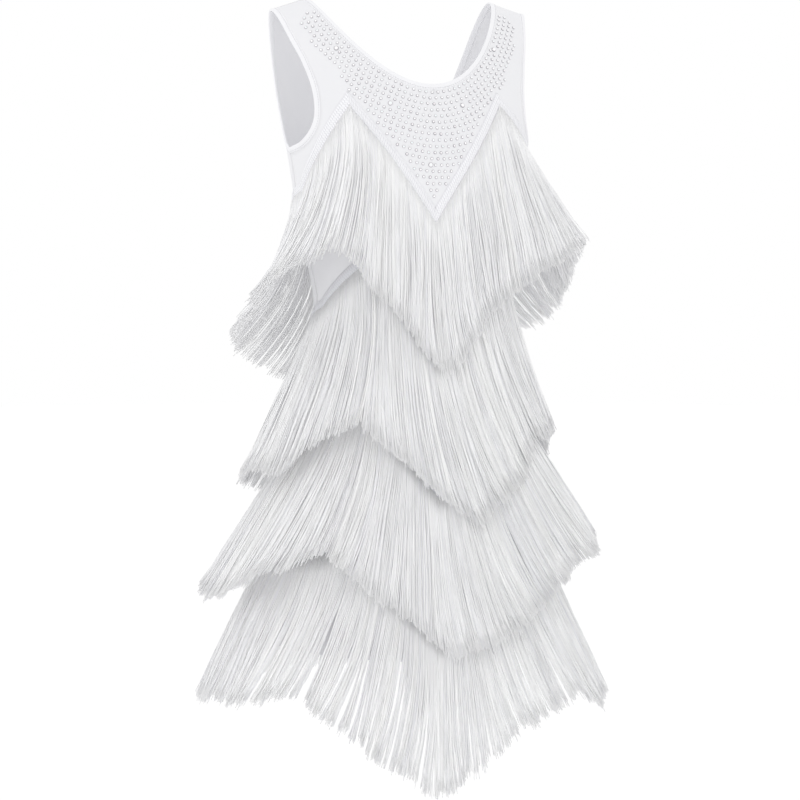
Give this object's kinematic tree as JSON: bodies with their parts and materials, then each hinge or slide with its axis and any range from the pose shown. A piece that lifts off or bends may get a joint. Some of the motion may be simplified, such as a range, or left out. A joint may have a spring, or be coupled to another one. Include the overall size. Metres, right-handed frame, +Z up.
{
  "type": "latin dance dress",
  "caption": "Sleeveless scoop-neck dance dress in hollow worn form, with tiers of long fringe hanging from zigzag braids.",
  "frame": {"origin": "midway between the tops of the two shoulder straps, where the wearer's shoulders hold the dress", "axes": "+Z up, +X towards the wearer's left, the front of the dress faces -Y"},
  "size_m": [0.4809, 0.3651, 0.8839],
  "materials": {
    "knit": "matt white stretch knit",
    "binding": "folded white stretch knit with a stitched edge",
    "yarn": "white chainette fringe with a soft sheen"
  },
  "bodies": {
    "root": {"front_panel": "knit", "back_panel": "knit", "neck_binding": "binding", "right_armhole_binding": "binding", "left_armhole_binding": "binding", "front_fringe_1": "yarn", "front_fringe_2": "yarn", "front_fringe_3": "yarn", "front_fringe_4": "yarn", "back_fringe_1": "yarn", "back_fringe_2": "yarn", "back_fringe_3": "yarn", "back_fringe_4": "yarn"}
  },
  "joints": []
}
